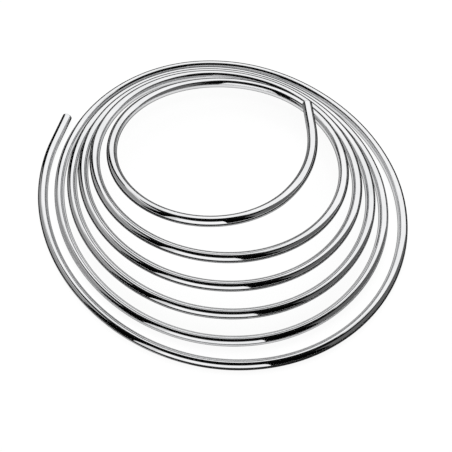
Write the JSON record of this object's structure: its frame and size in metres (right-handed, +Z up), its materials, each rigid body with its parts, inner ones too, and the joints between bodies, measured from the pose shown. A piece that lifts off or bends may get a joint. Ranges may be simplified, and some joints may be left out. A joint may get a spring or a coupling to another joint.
{
  "type": "coiled metal tube",
  "caption": "Coil of round, chrome-plated copper tube in open turns that climb from the widest turn to the smallest, with both ends straight and cut square; stock for gas or water lines.",
  "frame": {"origin": "on the floor, under the middle of the coil's outline", "axes": "+Z up, +X to the right and -Y towards the viewer of the picture; the tube's outer end is at the back left and its inner end at the right"},
  "size_m": [0.3799, 0.3718, 0.1083],
  "materials": {
    "chromed_tube": "bright chrome plating on copper, mirror smooth, bare copper on the cut ends"
  },
  "bodies": {
    "root": {"tube_coil": "chromed_tube"}
  },
  "joints": []
}
